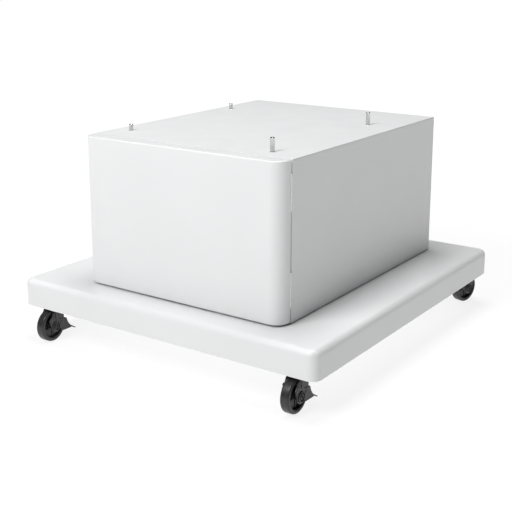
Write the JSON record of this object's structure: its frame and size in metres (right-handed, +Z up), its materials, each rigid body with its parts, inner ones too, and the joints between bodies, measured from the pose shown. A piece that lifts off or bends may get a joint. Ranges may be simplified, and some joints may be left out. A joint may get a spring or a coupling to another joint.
{
  "type": "printer stand cabinet",
  "caption": "Low white sheet-metal printer cabinet with a hinged door and locating pins on top, on a wide flat base with swivel casters.",
  "frame": {"origin": "on the floor, under the middle of the base", "axes": "+Z up, -Y towards the door, +X towards the hinge side"},
  "size_m": [0.66, 0.7324, 0.4275],
  "materials": {
    "white_enamel": "satin powder coat",
    "white_moulding": "satin",
    "galvanised": "zinc plated",
    "bright_steel": "satin nickel plated",
    "black_steel": "black zinc",
    "grey_nylon": "satin",
    "black_nylon": "satin",
    "black_rubber": "satin"
  },
  "bodies": {
    "stand": {"base_tray": "white_moulding", "base_rail_left": "galvanised", "base_rail_right": "galvanised", "base_crossbar_front": "galvanised", "base_crossbar_rear": "galvanised", "plinth_bar_left": "galvanised", "plinth_bar_right": "galvanised", "cabinet_side_left": "white_enamel", "cabinet_side_right": "white_enamel", "cabinet_top": "white_enamel", "cabinet_back": "white_enamel", "cabinet_floor": "white_enamel", "locating_pin_front_left": "bright_steel", "locating_pin_front_right": "bright_steel", "locating_pin_rear_left": "bright_steel", "locating_pin_rear_right": "bright_steel", "hinge_upper_carcass_leaf": "bright_steel", "hinge_upper_pin": "bright_steel", "hinge_lower_carcass_leaf": "bright_steel", "hinge_lower_pin": "bright_steel", "magnetic_catch": "black_nylon", "door_bumper_upper": "black_rubber", "door_bumper_lower": "black_rubber", "caster_front_left_plate": "black_steel", "caster_front_left_kingpin": "black_steel", "caster_front_right_plate": "black_steel", "caster_front_right_kingpin": "black_steel", "caster_rear_left_plate": "black_steel", "caster_rear_left_kingpin": "black_steel", "caster_rear_right_plate": "black_steel", "caster_rear_right_kingpin": "black_steel"},
    "door": {"door_shell": "white_moulding", "door_liner": "white_enamel", "strike_plate": "bright_steel", "hinge_upper_door_leaf": "bright_steel", "hinge_lower_door_leaf": "bright_steel"},
    "swivel_front_left": {"caster_front_left_fork": "grey_nylon", "caster_front_left_axle": "black_steel"},
    "roller_front_left": {"caster_front_left_wheel": "black_nylon", "caster_front_left_tyre": "black_rubber"},
    "pedal_front_left": {"brake_pedal_front_left": "black_nylon"},
    "swivel_front_right": {"caster_front_right_fork": "grey_nylon", "caster_front_right_axle": "black_steel"},
    "roller_front_right": {"caster_front_right_wheel": "black_nylon", "caster_front_right_tyre": "black_rubber"},
    "pedal_front_right": {"brake_pedal_front_right": "black_nylon"},
    "swivel_rear_left": {"caster_rear_left_fork": "grey_nylon", "caster_rear_left_axle": "black_steel"},
    "roller_rear_left": {"caster_rear_left_wheel": "black_nylon", "caster_rear_left_tyre": "black_rubber"},
    "swivel_rear_right": {"caster_rear_right_fork": "grey_nylon", "caster_rear_right_axle": "black_steel"},
    "roller_rear_right": {"caster_rear_right_wheel": "black_nylon", "caster_rear_right_tyre": "black_rubber"}
  },
  "joints": [
    {"name": "door_hinge", "type": "hinge", "parent": "stand", "child": "door", "pos_m": [0.2284, -0.2668, 0.263], "axis": [0, 0, 1], "range_deg": [0, 110]},
    {"name": "swivel_front_left_turn", "type": "hinge", "parent": "stand", "child": "swivel_front_left", "pos_m": [-0.279, -0.311, 0.0657], "axis": [0, 0, 1], "continuous": true},
    {"name": "wheel_front_left_roll", "type": "hinge", "parent": "swivel_front_left", "child": "roller_front_left", "pos_m": [-0.27785, -0.33297, 0.031], "axis": [0.9986, 0.0523, 0], "continuous": true},
    {"name": "brake_pedal_front_left_press", "type": "hinge", "parent": "swivel_front_left", "child": "pedal_front_left", "pos_m": [-0.27866, -0.31749, 0.0335], "axis": [-0.9986, -0.0523, 0], "range_deg": [0, 7]},
    {"name": "swivel_front_right_turn", "type": "hinge", "parent": "stand", "child": "swivel_front_right", "pos_m": [0.279, -0.311, 0.0657], "axis": [0, 0, 1], "continuous": true},
    {"name": "wheel_front_right_roll", "type": "hinge", "parent": "swivel_front_right", "child": "roller_front_right", "pos_m": [0.27919, -0.333, 0.031], "axis": [1, 0.0087, 0], "continuous": true},
    {"name": "brake_pedal_front_right_press", "type": "hinge", "parent": "swivel_front_right", "child": "pedal_front_right", "pos_m": [0.27906, -0.3175, 0.0335], "axis": [-1, -0.0087, 0], "range_deg": [0, 7]},
    {"name": "swivel_rear_left_turn", "type": "hinge", "parent": "stand", "child": "swivel_rear_left", "pos_m": [-0.279, 0.315, 0.0657], "axis": [0, 0, 1], "continuous": true},
    {"name": "wheel_rear_left_roll", "type": "hinge", "parent": "swivel_rear_left", "child": "roller_rear_left", "pos_m": [-0.28244, 0.33673, 0.031], "axis": [-0.9877, -0.1564, 0], "continuous": true},
    {"name": "swivel_rear_right_turn", "type": "hinge", "parent": "stand", "child": "swivel_rear_right", "pos_m": [0.279, 0.315, 0.0657], "axis": [0, 0, 1], "continuous": true},
    {"name": "wheel_rear_right_roll", "type": "hinge", "parent": "swivel_rear_right", "child": "roller_rear_right", "pos_m": [0.28469, 0.33625, 0.031], "axis": [-0.9659, 0.2588, 0], "continuous": true}
  ]
}
